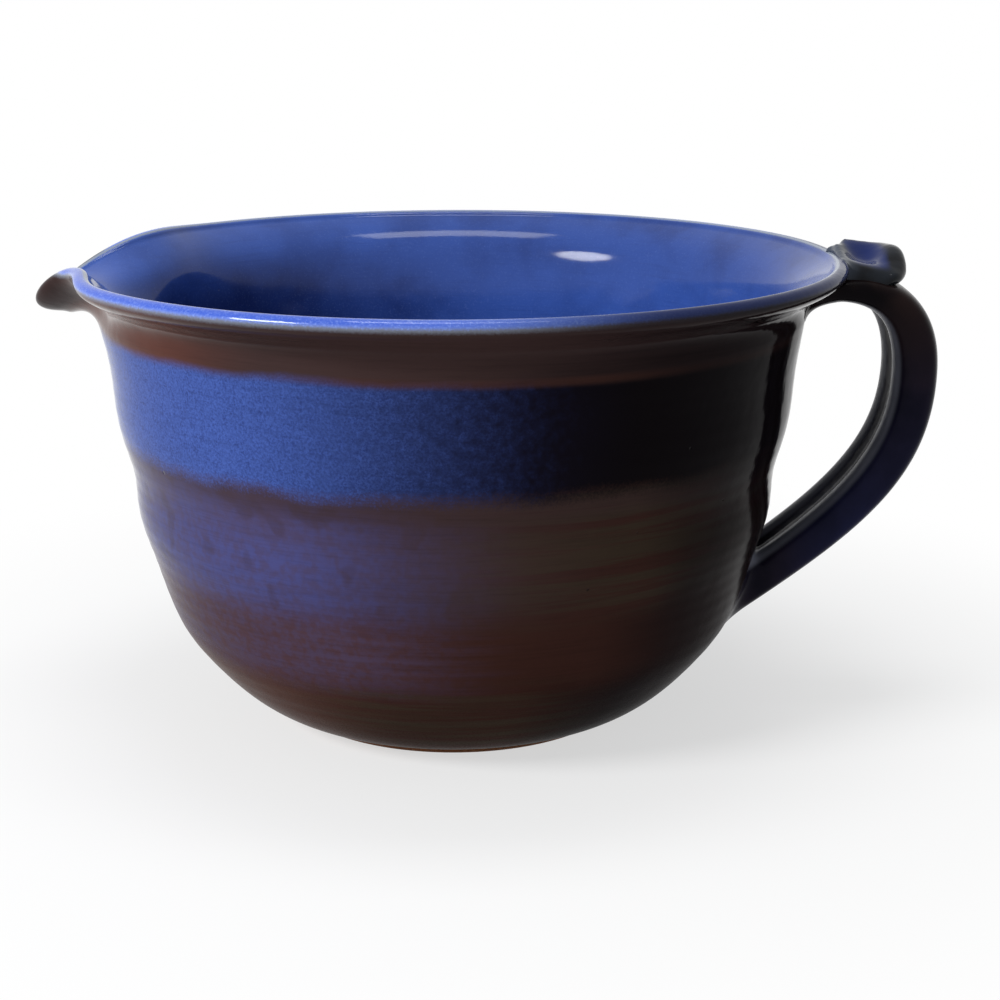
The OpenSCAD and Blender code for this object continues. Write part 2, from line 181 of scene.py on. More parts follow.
def new_object(name, points, faces, marked=None):
    mesh = bpy.data.meshes.new(name)
    mesh.from_pydata((np.asarray(points) * MM).tolist(), [], faces)
    for key, values in (marked or {}).items():
        mark_points(mesh, key, values)
    mesh.validate()
    mesh.update()
    mesh.shade_smooth()
    obj = bpy.data.objects.new(name, mesh)
    bpy.context.scene.collection.objects.link(obj)
    return obj


def raw_points(mesh):
    """The mesh's points in metres."""
    flat = np.empty(len(mesh.vertices) * 3, np.float32)
    mesh.vertices.foreach_get("co", flat)
    return flat.reshape(-1, 3)


def skin_faces(rings, n, wrap=False):
    """Faces between rings of n points. wrap joins the last ring to the first."""
    faces = []
    for i in range(rings if wrap else rings - 1):
        a, b = i * n, (i + 1) % rings * n
        faces += [(a + j, a + (j + 1) % n, b + (j + 1) % n, b + j) for j in range(n)]
    return faces


def fan_faces(tip, first, n, flip):
    """Closes a ring of n points, starting at first, with a fan to the point tip."""
    pairs = [(first + j, first + (j + 1) % n) for j in range(n)]
    return [(tip, b, a) if flip else (tip, a, b) for a, b in pairs]


def apply_modifier(obj, kind, **values):
    bpy.context.view_layer.objects.active = obj
    modifier = obj.modifiers.new(kind.lower(), kind)
    for key, value in values.items():
        setattr(modifier, key, value)
    bpy.ops.object.modifier_apply(modifier=modifier.name)


def hold(obj):
    """Holds the piece just inside the CAD's box."""
    mesh = obj.data
    mesh.vertices.foreach_set("co", in_box(raw_points(mesh)).astype(np.float32).ravel())
    mesh.update()


# The bowl

ROUND_N, FLOOR_RINGS = 540, 32
STEP_POWER = 1.5
# The fingers' ridges on the wall, between the two heights, and on the floor
SPIRAL_PITCH, SPIRAL_H, SPIRAL_FROM_Z, SPIRAL_TO_Z = 4.2, 0.035, 6, NECK_Z + 4
FLOOR_PITCH, FLOOR_SPIRAL_H = 6.5, 0.22
SHRINK = 1 - DRAWN_IN / RIM_R
# Rounds of easing, how far they reach at the neck and the lip, and where the throat starts on the path
EASE_TIMES, EASE_NECK_H, EASE_LIP_H, THROAT_FROM = 80, 7, 2.2, 4
# The beak under the spout, brown glaze darkened with painted shade: half its width in degrees, and its
# lowest height
BEAK_HALF, BEAK_Z = 25, 113
# A distance that puts the floor and the underside well off the rim's band
FAR = 99.0


def section_rows():
    """Rows of the section: radius, height, share outside, path from the crest of the lip."""
    outer_z = mix(FOOT_H, NECK_Z, np.linspace(0, 1, 150) ** STEP_POWER)
    flare_z = np.linspace(NECK_Z, FLARE_Z, 30)[1:]
    lip_a = np.linspace(LIP_START, LIP_END, 26)[1:-1]
    throat_z = np.linspace(THROAT_Z, NECK_Z, 26)
    inner_z = mix(FLOOR_Z, NECK_Z, np.linspace(1, 0, 110) ** STEP_POWER)[1:]
    r = np.concatenate([wall_r(outer_z), flare_r(flare_z), LIP_C + LIP_R * np.cos(lip_a), throat_r(throat_z),
                        inner_wall_r(inner_z)])
    z = np.concatenate([outer_z, flare_z, LIP_Z + LIP_R * np.sin(lip_a), throat_z, inner_z])
    outside = (np.arange(len(r)) < len(outer_z) + len(flare_z)).astype(float)
    path = np.concatenate([[0], np.cumsum(np.hypot(np.diff(r), np.diff(z)))])
    crest = path[int(np.argmax(z))]
    return r, z, outside, path - crest


def relief(z, turn):
    """Low spiral ridges left by the fingers on the wheel."""
    fade = smooth((z - SPIRAL_FROM_Z) / 12) * smooth((SPIRAL_TO_Z - z) / 10)
    sway = 0.6 + 0.4 * np.sin(3 * turn + z / 17)
    return SPIRAL_H * fade * sway * np.sin(2 * np.pi * z / SPIRAL_PITCH + turn + 1.3 * np.sin(z / 9))


def ease(br, bz, z, path, pp):
    """Rounds the section where the throat meets the wall, and under the lip, most at the spout."""
    inside_neck = bump((z - NECK_Z) / EASE_NECK_H) * (path > THROAT_FROM)
    under_lip = bump((z - FLARE_Z) / EASE_LIP_H) * (path < 0)
    share = inside_neck[:, None] + under_lip[:, None] * mix(0.7, 1.0, bump(pp / 24))
    for _ in range(EASE_TIMES):
        for c in (br, bz):
            c[1:-1] += 0.5 * share[1:-1] * ((c[:-2] + c[2:]) / 2 - c[1:-1])
    return br, bz


def floor_rings(edge_r, turn):
    """The floor inside, with the spiral that the fingers leave, ring by ring towards its middle."""
    rings = []
    for share in np.linspace(1, 0, FLOOR_RINGS + 2)[1:-1]:
        r = edge_r * share
        spiral = FLOOR_SPIRAL_H * smooth((1 - share) * 5) * np.sin(2 * np.pi * r / FLOOR_PITCH + turn)
        z = FLOOR_Z - FLOOR_DISH * (1 - share ** 2) + spiral * smooth(r / 6)
        rings.append(np.stack([r * np.cos(turn), r * np.sin(turn), z], -1))
    return rings


def bowl_skin():
    """The bowl in one skin, and the number of the first point of its lining."""
    r, z, outside, path = section_rows()
    a = 2 * np.pi * np.arange(ROUND_N) / ROUND_N
    phi = (a - CROWD * np.sin(a)) / DEG
    phi = np.where(phi > 180, phi - 360, phi)
    turn = (180 + SPOUT_TURN + phi) * DEG
    rr, pp = np.meshgrid(r, phi, indexing="ij")
    zz, tt = np.meshgrid(z, turn, indexing="ij")
    ss = path[:, None]
    br, bz = spout_bend(rr + relief(zz, tt), zz, pp, outside[:, None])
    br, bz = ease(br, bz, z, path, pp)
    br = br * SHRINK
    wall = np.stack([br * np.cos(tt), br * np.sin(tt), bz], -1).reshape(-1, 3)
    tips = [[0, 0, FLOOR_Z - FLOOR_DISH], [0, 0, FOOT_H]]
    rings = len(r) + FLOOR_RINGS
    count = rings * ROUND_N
    faces = skin_faces(rings, ROUND_N)
    faces += fan_faces(count, count - ROUND_N, ROUND_N, True) + fan_faces(count + 1, 0, ROUND_N, True)

    def marked(values, on_floor, underneath):
        return np.concatenate([values.ravel(), np.full(FLOOR_RINGS * ROUND_N + 1, on_floor), [underneath]])

    obj = new_object("bowl_skin", np.concatenate([wall, *floor_rings(r[-1], turn), tips]), faces, {
        "high": marked(zz, FLOOR_Z, 0.0),
        "band_low": marked(band_low(ss, pp), FAR, -FAR),
        "band_top": marked(band_top(ss, pp), FAR, -FAR),
        "beak": marked(np.exp(-(pp / BEAK_HALF) ** 4) * smooth((zz - BEAK_Z) / 5), 0.0, 0.0)})
    return obj, int(np.argmax(path > 0)) * ROUND_N


def by_spout(phi):
    """1 at the spout, 0 away from it."""
    return smooth((20 - np.abs(phi)) / 9)


def band_low(path, phi):
    """Distance above the lower edge of the rim's blue band, which climbs over the lip at the spout."""
    return path - mix(-RIM_BAND, 1.0, by_spout(phi))


def band_top(path, phi):
    """Distance past the upper edge of that band, where the lining starts."""
    return path - mix(0.9, 1.4, by_spout(phi))


# The strap handle

# How far the strap thins towards its ends, how square its corners are, and the groove's width as a share
TOP_THIN, LOW_THIN, CORNER, GROOVE_SHARE = 0.52, 0.12, 3.4, 0.2
# Places along the strap: 0 at its upper end, 1 at its widest point, 2 at its lower end
SPREAD_UNTIL, SPREAD_FROM, TOP_THIN_UNTIL, LOW_THIN_FROM = 0.9, 1.3, 0.95, 1.2
TOP_CLEAR, LOW_CLEAR = 0.62, 1.5
# Pull of the four guide points, as shares of the run and fall of their own curve
RISE_SHARES, ROUND_SHARE, SWEEP_SHARE, LAND_SHARES = (0.64, -0.3), 0.95, 0.41, (0.67, 0.37)
STRAP_N, STRAP_RINGS = 72, 150
# How far the strap runs on into the wall, and how its smoothed roots are sunk and pulled hollow
ROOT_SINK, ROOT_INSET, ROOT_PULL, ROOT_N = 2.4, 1.2, 0.12, 48
STRAP_X = RIM_R + HANDLE_REACH - HANDLE_T / 2
TOP_Z, MID_Z = BOWL_H - HANDLE_TOP_DROP, BOWL_H - HANDLE_MID_DROP
STRAP_START = np.array([NECK_R - WALL_T, TOP_Z])
STRAP_END = np.array([float(wall_r(np.array(HANDLE_LOW_H))) - WALL_T, HANDLE_LOW_H])
GUIDES = [
    STRAP_START,
    np.array([mix(STRAP_START[0], STRAP_X, RISE_SHARES[0]), mix(TOP_Z, MID_Z, RISE_SHARES[1])]),
    np.array([STRAP_X, mix(MID_Z, TOP_Z, ROUND_SHARE)]),
    np.array([STRAP_X, MID_Z]),
    np.array([STRAP_X, mix(MID_Z, HANDLE_LOW_H, SWEEP_SHARE)]),
    np.array([mix(STRAP_END[0], STRAP_X, LAND_SHARES[0]), mix(HANDLE_LOW_H, MID_Z, LAND_SHARES[1])]),
    STRAP_END,
]


def strap_part(s):
    """The four guides of the curve at this place on the strap's way, and how far along it is."""
    k, t = (0, s) if s < 1 else (3, s - 1)
    return GUIDES[k:k + 4], t


def strap_mid(s):
    (a, b, c, d), t = strap_part(s)
    u = 1 - t
    return u ** 3 * a + 3 * t * u ** 2 * b + 3 * t * t * u * c + t ** 3 * d


def strap_speed(s):
    (a, b, c, d), t = strap_part(s)
    u = 1 - t
    return 3 * (u ** 2 * (b - a) + 2 * t * u * (c - b) + t * t * (d - c))


def strap_way(s):
    v = strap_speed(s)
    return v / np.linalg.norm(v)


def strap_w(s):
    low_spread = LOW_SPREAD * smooth((s - SPREAD_FROM) / (2 - SPREAD_FROM))
    return HANDLE_W + TOP_SPREAD * (1 - smooth(s / SPREAD_UNTIL)) + low_spread


def strap_t(s):
    low_thin = LOW_THIN * smooth((s - LOW_THIN_FROM) / (2 - LOW_THIN_FROM))
    return HANDLE_T * (1 - TOP_THIN * (1 - smooth(s / TOP_THIN_UNTIL)) - low_thin)


def soft(v):
    return np.sign(v) * abs(v) ** (2 / CORNER)


def strap_point(s, a, inset=0.0):
    """The strap's surface at place s, angle a round it from its outer face."""
    m, v = strap_mid(s), strap_way(s)
    y = -(strap_w(s) / 2 - inset) * soft(math.sin(a))
    g = GROOVE_D * bump(y / (GROOVE_SHARE * strap_w(s))) if math.cos(a) < 0 else 0
    n = (strap_t(s) / 2 - inset) * soft(math.cos(a)) + g
    return np.array([m[0] - v[1] * n, y, m[1] + v[0] * n])


def beyond(p):
    """How far a point lies outside the bowl's wall."""
    return math.hypot(p[0], p[1]) - float(outer_r(p[2]))


def meet(point, inside, outside):
    """The place along a line, given by its function, where it leaves the bowl's wall."""
    for _ in range(HALVINGS):
        middle = (inside + outside) / 2
        if beyond(point(middle)) > 0:
            outside = middle
        else:
            inside = middle
    return (inside + outside) / 2


def strap_rings():
    """The strap's rings, their angles, and where it runs back into the wall at each."""
    angles = [2 * math.pi * j / STRAP_N for j in range(STRAP_N)]
    top = [meet(lambda s, a=a: strap_point(s, a), 0, TOP_CLEAR) for a in angles]
    low = [meet(lambda s, a=a: strap_point(s, a), 2, LOW_CLEAR) for a in angles]
    sink_top = [s - ROOT_SINK / np.linalg.norm(strap_speed(s)) for s in top]
    sink_low = [s + ROOT_SINK / np.linalg.norm(strap_speed(s)) for s in low]
    rings = []
    for i in range(STRAP_RINGS):
        share = i / (STRAP_RINGS - 1)
        rings.append([strap_point(mix(t, e, share), a) for a, t, e in zip(angles, sink_top, sink_low)])
    return rings, angles, low


def tube(name, rings, wrap=False):
    """A closed skin over a row of rings. wrap makes a loop of them."""
    n = len(rings[0])
    points = [p for ring in rings for p in ring]
    faces = skin_faces(len(rings), n, wrap)
    if not wrap:
        points += [np.mean(rings[0], 0), np.mean(rings[-1], 0)]
        faces += fan_faces(len(points) - 2, 0, n, True)
        faces += fan_faces(len(points) - 1, (len(rings) - 1) * n, n, False)
    return new_object(name, points, faces)


def on_wall(y, z, gap):
    """The point of the bowl's wall on the handle's side at y and z, moved out by gap."""
    return np.array([math.sqrt(max((float(outer_r(z)) + gap) ** 2 - y * y, 0)), y, z])


def fillet_section(s0, a, way, reach, n=10):
    """A section of smoothed clay: in the strap, out along it, round the hollow, back in the wall."""
    root = strap_point(s0, a)
    step = way * reach / np.linalg.norm(strap_speed(s0))
    middle = strap_mid(s0)
    out = np.array([root[1], root[2] - middle[1]])
    down = out / np.linalg.norm(out) * reach
    along = [strap_point(s0 + step * k / n, a, ROOT_INSET) for k in range(n + 1)]
    start = strap_point(s0 + step, a)
    wall = [on_wall(root[1] + down[0] * k / n, root[2] + down[1] * k / n, -ROOT_INSET)
            for k in range(n, 0, -1)]
    end = on_wall(root[1] + down[0], root[2] + down[1], 0)
    pull = root + ROOT_PULL * ((start + end) / 2 - root)
    hollow = []
    for k in range(2 * n + 1):
        t = k / (2 * n)
        hollow.append((1 - t) ** 2 * start + 2 * t * (1 - t) * pull + t * t * end)
    return along + hollow + wall


def upper_root():
    """The clay smoothed along the strap's underside and flanks, thinner towards its two ends."""
    sections = []
    for k in range(ROOT_N + 1):
        a = mix(78, 282, k / ROOT_N) * DEG
        swell = mix(0.25, 1, math.sin(math.pi * k / ROOT_N))
        s0 = meet(lambda s: strap_point(s, a), 0, TOP_CLEAR)
        sections.append(fillet_section(s0, a, 1, UPPER_FILLET * swell))
    return tube("upper_root", sections)


def lower_root(low, angles):
    sections = [fillet_section(s, a, -1, LOWER_FILLET) for s, a in zip(low, angles)]
    return tube("lower_root", sections, wrap=True)


def pick(objects):
    bpy.ops.object.select_all(action="DESELECT")
    for obj in objects:
        obj.select_set(True)
    bpy.context.view_layer.objects.active = objects[0]


def recalc(obj):
    """Turns the piece's faces outward."""
    pick([obj])
    bpy.ops.object.mode_set(mode="EDIT")
    bpy.ops.mesh.select_all(action="SELECT")
    bpy.ops.mesh.normals_make_consistent(inside=False)
    bpy.ops.object.mode_set(mode="OBJECT")


def moulded(parts, voxel, times):
    """The parts as one piece of clay with its edges smoothed."""
    for part in parts:
        recalc(part)
    pick(parts)
    bpy.ops.object.join()
    whole = parts[0]
    apply_modifier(whole, "REMESH", mode="VOXEL", voxel_size=voxel * MM, use_smooth_shade=True)
    apply_modifier(whole, "SMOOTH", factor=0.5, iterations=times)
    whole.data.shade_smooth()
    return whole


def handle_skin():
    rings, angles, low = strap_rings()
    return moulded([tube("handle_skin", rings), upper_root(), lower_root(low, angles)], voxel=0.55, times=5)


# The thumb rest

FRONT_A = 85 * DEG
FRONT_X = LIP_C + LIP_R * math.cos(FRONT_A)
NOSE_X = RIM_R + THUMB_L - NOSE_R
RIDGE, EDGE_SKIN = 0.74, HANDLE_T / 20
# The dish ends where the nose starts to lift, and the nose draws back and thins towards both sides
DISH_FROM, OPEN_SHARE, NOSE_LIFT, LIFT_WIDTH = 0.4, 0.5, 1.15, 0.95
NOSE_FROM, NOSE_BACK, NOSE_BACK_POWER, NOSE_THIN = -75 * DEG, 0.8, 4, 0.3
# How deep the pad is sunk, what its edge keeps above the strap and the lip, and its let-down corner
PAD_SINK, PAD_LIFT, CORNER_L = 1.0, 0.3, 3.2
# The smear of clay from the pad's far corner onto the rim: its ends and radius
SMEAR = (100.8, 6.5, 124.0), (107.5, 8.8, 124.6), 1.9


def strap_top_at(s, y):
    """The strap's outer face at place s, y off its middle line."""
    m, v = strap_mid(s), strap_way(s)
    u = min(abs(2 * y / strap_w(s)), 1)
    n = strap_t(s) / 2 * (1 - u ** CORNER) ** (1 / CORNER)
    return np.array([m[0] - v[1] * n, y, m[1] + v[0] * n])


def reach_x(x, y, near, far):
    """The place on the strap's way where its outer face reaches x."""
    for _ in range(HALVINGS):
        s = (near + far) / 2
        if strap_top_at(s, y)[0] < x:
            near = s
        else:
            far = s
    return (near + far) / 2


def thumb_top(x, v):
    """Height of the dished top at x, with v from -1 to 1 across it."""
    along = (x - FRONT_X) / (NOSE_X - FRONT_X)
    closing = smooth((along - OPEN_SHARE) / (1 - OPEN_SHARE))
    lift = NOSE_LIFT * (1 - smooth(abs(v) / LIFT_WIDTH))
    dish = (1 - smooth(abs(v) / RIDGE)) * (1 - closing) * smooth(along / DISH_FROM)
    return (BOWL_H + THUMB_RISE - (x - FRONT_X) * math.tan((THUMB_FALL - THUMB_TWIST * v) * DEG)
            + v * THUMB_W / 2 * math.tan(THUMB_ROLL * DEG) + DISH_D * (lift * closing - dish))


def lip_top_z(r):
    return LIP_Z + math.sqrt(max(LIP_R ** 2 - (r - LIP_C) ** 2, 0)) if r < RIM_R else 0


def thumb_column(v, rows=40, nose_n=24, front_n=8):
    """A closed section along the pad: its seat, nose, top and front."""
    y = v * THUMB_W / 2
    start = meet(lambda s: strap_top_at(s, y), 0, TOP_CLEAR)
    u = max(abs(v) - RIDGE, 0) / (1 - RIDGE)
    fall = mix(0.1, 1, math.sqrt(max(1 - u * u, 0)))
    nose_round = NOSE_R * (1 - NOSE_THIN * v * v)
    nx = NOSE_X - NOSE_R * NOSE_BACK * v ** NOSE_BACK_POWER
    stop = reach_x(nx - nose_round / 2, y, start, 1)
    seat = [strap_top_at(mix(start, stop, k / rows), y) for k in range(rows + 1)]
    room = (thumb_top(nx, v) - strap_top_at(reach_x(nx, y, start, 1), y)[2]) / 2
    nr = max(min(nose_round, room) * fall, EDGE_SKIN)
    nz = mix(seat[-1][2] + EDGE_SKIN + nr, thumb_top(nx, v) - nr, fall)
    nose = [np.array([nx + nr * math.cos(a), y, nz + nr * math.sin(a)])
            for a in np.linspace(NOSE_FROM, math.pi / 2, nose_n)]
    top = []
    for k in range(1, rows):
        x = mix(FRONT_X, nx, (1 - k / rows) ** 1.2)
        low = max(strap_top_at(reach_x(x, y, 0, 1), y)[2], lip_top_z(math.hypot(x, y))) + PAD_LIFT
        corner = mix(1, smooth((x - FRONT_X) / CORNER_L), smooth((v - 0.3) / 0.5))
        top.append(np.array([x, y, max(mix(low, thumb_top(x, v), fall * corner), low)]))
    seat = [p - np.array([0, 0, PAD_SINK]) for p in seat]
    top_z = mix(seat[0][2] + EDGE_SKIN, LIP_Z + LIP_R * math.sin(FRONT_A), fall)
    front = []
    for z in np.linspace(top_z, seat[0][2], front_n):
        r = float(outer_r(z)) if z <= FLARE_Z else float(lip_face_r(z))
        front.append(np.array([math.sqrt((r - PAD_SINK) ** 2 - y * y), y, z]))
    return seat + nose + top + front


def smear(start, end, radius, n=24):
    """A round-ended roll of clay between two points."""
    a, b = Vector(start), Vector(end)
    turn = (b - a).to_track_quat("Z", "X")
    rings = []
    for k in range(n + 1):
        t = k / n
        size = radius * math.sqrt(max(1 - (2 * t - 1) ** 6, 0.001))
        rings.append([tuple(a.lerp(b, t) + turn @ Vector((size * math.cos(q), size * math.sin(q), 0)))
                      for q in np.linspace(0, 2 * math.pi, n + 1)[:-1]])
    return tube("smear", rings)


def thumb_skin():
    columns = [thumb_column(v) for v in np.linspace(-1, 1, 61)]
    return moulded([tube("thumb_skin", columns), smear(*SMEAR)], voxel=0.38, times=55)


bowl, lining_from = bowl_skin()
handle = handle_skin()
thumb = thumb_skin()
for piece in (bowl, handle, thumb):
    hold(piece)


# Glaze

def srgb(r, g, b):
    """A colour written as it shows on screen, 0 to 255."""
    shares = [v / 255 for v in (r, g, b)]
    return tuple(s / 12.92 if s <= 0.04045 else ((s + 0.055) / 1.055) ** 2.4 for s in shares) + (1.0,)


class Nodes:
    """Short calls for a material's nodes."""

    def __init__(self, name):
        self.material = bpy.data.materials.new(name)
        self.material.use_nodes = True
        self.tree = self.material.node_tree
        self.tree.nodes.clear()
        where = self.add("ShaderNodeTexCoord").outputs["Object"]
        self.place = self.vector("SCALE", {0: where, "Scale": 1 / MM})
        self.x, self.y, self.z = self.add("ShaderNodeSeparateXYZ", {0: self.place}).outputs

    def add(self, kind, inputs=None, **settings):
        node = self.tree.nodes.new(kind)
        for key, value in settings.items():
            setattr(node, key, value)
        for key, value in (inputs or {}).items():
            if isinstance(value, bpy.types.NodeSocket):
                self.tree.links.new(value, node.inputs[key])
            else:
                node.inputs[key].default_value = value
        return node

    def math(self, operation, *values):
        return self.add("ShaderNodeMath", dict(enumerate(values)), operation=operation).outputs[0]

    def plus(self, a, b):
        return self.math("ADD", a, b)

    def times(self, a, b):
        return self.math("MULTIPLY", a, b)

    def swing(self, texture, reach):
        """A texture's swing about its middle, times reach."""
        return self.times(self.math("SUBTRACT", texture, 0.5), reach)

    def vector(self, operation, inputs):
        return self.add("ShaderNodeVectorMath", inputs, operation=operation).outputs[0]

    def span(self, value, low, high, to_low=0.0, to_high=1.0):
        """A value's way from low to high, with soft ends."""
        inputs = {0: value, 1: low, 2: high, 3: to_low, 4: to_high}
        return self.add("ShaderNodeMapRange", inputs, interpolation_type="SMOOTHSTEP").outputs[0]

    def band(self, value, low, high, soft_low, soft_high):
        """1 between low and high, 0 past their soft edges."""
        rise = self.span(value, low - soft_low, low + soft_low)
        fall = self.span(value, high - soft_high, high + soft_high, 1.0, 0.0)
        return self.times(rise, fall)

    def noise(self, scale, detail=3.0, roughness=0.55, stretch=None, shift=0.0):
        where = self.place if stretch is None else self.vector("MULTIPLY", {0: self.place, 1: stretch})
        where = self.vector("ADD", {0: where, 1: (shift, -shift, 2 * shift)})
        inputs = {"Vector": where, "Scale": scale, "Detail": detail, "Roughness": roughness}
        return self.add("ShaderNodeTexNoise", inputs).outputs["Fac"]

    def attribute(self, name):
        return self.add("ShaderNodeAttribute", attribute_name=name).outputs["Fac"]

    def mix(self, share, a, b):
        return self.add("ShaderNodeMix", {0: share, 6: a, 7: b}, data_type="RGBA").outputs[2]

    def towards(self, azimuth):
        """1 on the side of the bowl that faces this azimuth, -1 on the far side."""
        c, s = math.cos(azimuth * DEG), math.sin(azimuth * DEG)
        away = self.math("SQRT", self.plus(self.times(self.x, self.x), self.times(self.y, self.y)))
        along = self.plus(self.times(self.x, c), self.times(self.y, s))
        return self.math("DIVIDE", along, self.math("MAXIMUM", away, 1.0))

    def bumps(self, height, distance, strength=1.0, normal=None):
        inputs = {"Height": height, "Distance": distance * MM, "Strength": strength}
        if normal is not None:
            inputs["Normal"] = normal
        return self.add("ShaderNodeBump", inputs).outputs["Normal"]

    def surface(self, colour, roughness, normal, specular):
        shader = self.add("ShaderNodeBsdfPrincipled", {
            "Base Color": colour, "Roughness": roughness, "Normal": normal, "IOR": GLAZE_IOR})
        level = shader.inputs["Specular IOR Level"]
        if isinstance(specular, bpy.types.NodeSocket):
            # The plain value is for readers that don't follow the link
            level.default_value = MEAN_SPECULAR
            self.tree.links.new(specular, level)
        else:
            level.default_value = specular
        self.add("ShaderNodeOutputMaterial", {0: shader.outputs[0]})
        return self.material


GLAZE_IOR, MEAN_SPECULAR = 1.45, 0.06
LINING_SPECULAR, STRAP_SPECULAR, REST_SPECULAR, CLAY_SPECULAR = 0.2, 0.035, 0.11, 0.3
# Azimuths, counted from the handle: where the glaze is browner and painted shade darkest, and the key lamp's
# side, where the rim's band takes a painted highlight
SHADED_SIDE, KEY_LAMP_SIDE = -25, -140
# The same for the lining's painted shade: the left, the right and the far right of the mouth, as the camera
# sees them
MOUTH_LEFT, MOUTH_RIGHT, MOUTH_FAR_RIGHT = 200, 15, 50

COBALT = srgb(66, 90, 162)
COBALT_DEEP = srgb(44, 60, 118)
RIM_BLUE = srgb(54, 86, 186)
RIM_PALE = srgb(136, 160, 224)
RIM_GREY = srgb(132, 142, 158)
INNER_BLUE = srgb(53, 83, 160)
INNER_DEEP = srgb(26, 42, 96)
INDIGO = srgb(67, 69, 118)
PLUM = srgb(70, 58, 80)
CHESTNUT = srgb(80, 46, 38)
UMBER = srgb(58, 43, 42)
RUST = srgb(72, 44, 36)
BARK = srgb(56, 34, 29)
OLIVE = srgb(56, 45, 36)
# Black: the handle's glaze, the pits and the streaks, and painted shade on the dark side
BLACK_AND_SHADE = srgb(13, 9, 12)
# A shaded copy of the band's cobalt, for painted shade
SHADED_BLUE = srgb(16, 14, 30)
# A shaded copy of the rim's blue, for painted shade
SHADED_RIM_BLUE = srgb(20, 22, 52)
STRAP_BROWN = srgb(34, 24, 22)
STRAP_NAVY = srgb(28, 31, 60)
RIDGE_GREY = srgb(120, 122, 134)
REST_BLACK = srgb(14, 15, 18)
REST_GREY = srgb(25, 29, 35)
POOL_BLUE = srgb(22, 36, 86)
SLOPE_GREY = srgb(66, 74, 88)
CLAY = srgb(150, 96, 60)
CLAY_DARK = srgb(132, 84, 52)
CLAY_PALE = srgb(164, 110, 72)
CLAY_SPECK = srgb(78, 48, 32)


def pinholes(n):
    """Small round pits where gas left the glaze, sparse and of uneven size."""
    cells = n.add("ShaderNodeTexVoronoi", {"Vector": n.place, "Scale": 0.085}, feature="F1")
    chance = n.add("ShaderNodeSeparateColor", {0: cells.outputs["Color"]}).outputs[0]
    size = n.span(chance, 0.45, 1.0, 0.0, 0.055)
    there = n.math("GREATER_THAN", size, 0.004)
    away = n.math("DIVIDE", cells.outputs["Distance"], n.math("MAXIMUM", size, 0.004))
    return n.times(there, n.math("SUBTRACT", 1.0, n.math("SMOOTH_MIN", away, 1.0, 0.2)))


def rim_band(n, colour, low, grain, painted_shade):
    """The speckled blue of the rim over the colour below it, with a grey halo where it breaks, a painted
    highlight towards the key lamp and painted shade on the dark side.
    """
    frayed = n.plus(low, n.swing(grain, 1.2))
    # Painted highlight: the band's lower edge is paler towards the key lamp; away from it the speckle is
    # made a little paler all over
    edge = n.times(n.span(low, 0.2, 1.4, 1.0, 0.0), n.span(n.towards(KEY_LAMP_SIDE), 0.3, 1.0, 0.1, 0.5))
    edge = n.plus(edge, n.times(n.span(n.towards(KEY_LAMP_SIDE), 0.3, 0.9, 1.0, 0.0), 0.35))
    pale = n.plus(n.span(grain, 0.44, 0.8, 0.0, 0.5), edge)
    speckle = n.mix(n.math("MINIMUM", pale, 1.0), RIM_BLUE, RIM_PALE)
    # Painted shade: the speckle goes to a shaded blue on the dark side
    speckle = n.mix(n.times(painted_shade, 0.9), speckle, SHADED_RIM_BLUE)
    halo = n.mix(n.span(painted_shade, 0.0, 1.0, 0.55, 0.05), colour, RIM_GREY)
    colour = n.mix(n.span(frayed, -1.5, 0.1), colour, halo)
    return n.mix(n.span(frayed, -0.2, 0.9), colour, speckle)


def lining_over(n, colour, top, grain, fine):
    """The lining's blue, with painted shade and dark blotches, over the rim's band, with a thin grey edge
    between them.
    """
    cloud = n.noise(0.06, 4.0, 0.55, shift=41.0)
    # Painted shade: darker low on the mouth's left, low away from its right and high on its far right; the
    # cloud adds the glaze's own dark blotches
    shade_and_blotches = n.times(n.span(n.towards(MOUTH_LEFT), -0.5, 0.8, 0.0, 0.85), n.span(n.z, 99.0, 117.0, 1.0, 0.0))
    shade_and_blotches = n.plus(shade_and_blotches, n.span(cloud, 0.35, 0.75, 0.0, 0.35))
    away_right = n.span(n.towards(MOUTH_RIGHT), -0.1, 0.8, 1.0, 0.0)
    shade_and_blotches = n.plus(shade_and_blotches, n.times(n.span(n.z, 94.0, 114.0, 0.35, 0.0), away_right))
    far = n.span(n.towards(MOUTH_FAR_RIGHT), 0.3, 0.9)
    shade_and_blotches = n.plus(shade_and_blotches, n.times(far, n.span(n.z, 104.0, 118.0, 0.0, 0.3)))
    lining = n.mix(n.math("MINIMUM", shade_and_blotches, 1.0), INNER_BLUE, INNER_DEEP)
    lining = n.mix(n.times(n.span(grain, 0.5, 0.8), 0.12), lining, RIM_PALE)
    lining = n.mix(n.times(n.span(fine, 0.5, 0.8), 0.2), lining, INNER_DEEP)
    ragged = n.plus(top, n.swing(grain, 0.8))
    colour = n.mix(n.band(ragged, -0.5, 0.5, 0.4, 0.4), colour, RIM_GREY)
    return n.mix(n.span(ragged, 0.0, 0.9), colour, lining)


def finish_glaze(n, colour, grain, fine, rough, specular, waves=0.4):
    """Adds the pits and the glaze's waves, and makes the surface."""
    pits = pinholes(n)
    colour = n.mix(n.times(pits, 0.8), colour, BLACK_AND_SHADE)
    normal = n.bumps(n.noise(0.12, 2.0, 0.5, shift=5.0), 0.35, waves)
    normal = n.bumps(fine, 0.02, 0.2, normal)
    normal = n.bumps(grain, 0.02, 0.3, normal)
    normal = n.bumps(n.math("SUBTRACT", 1.0, pits), 0.35, 1.0, normal)
    return n.surface(colour, rough, normal, specular)


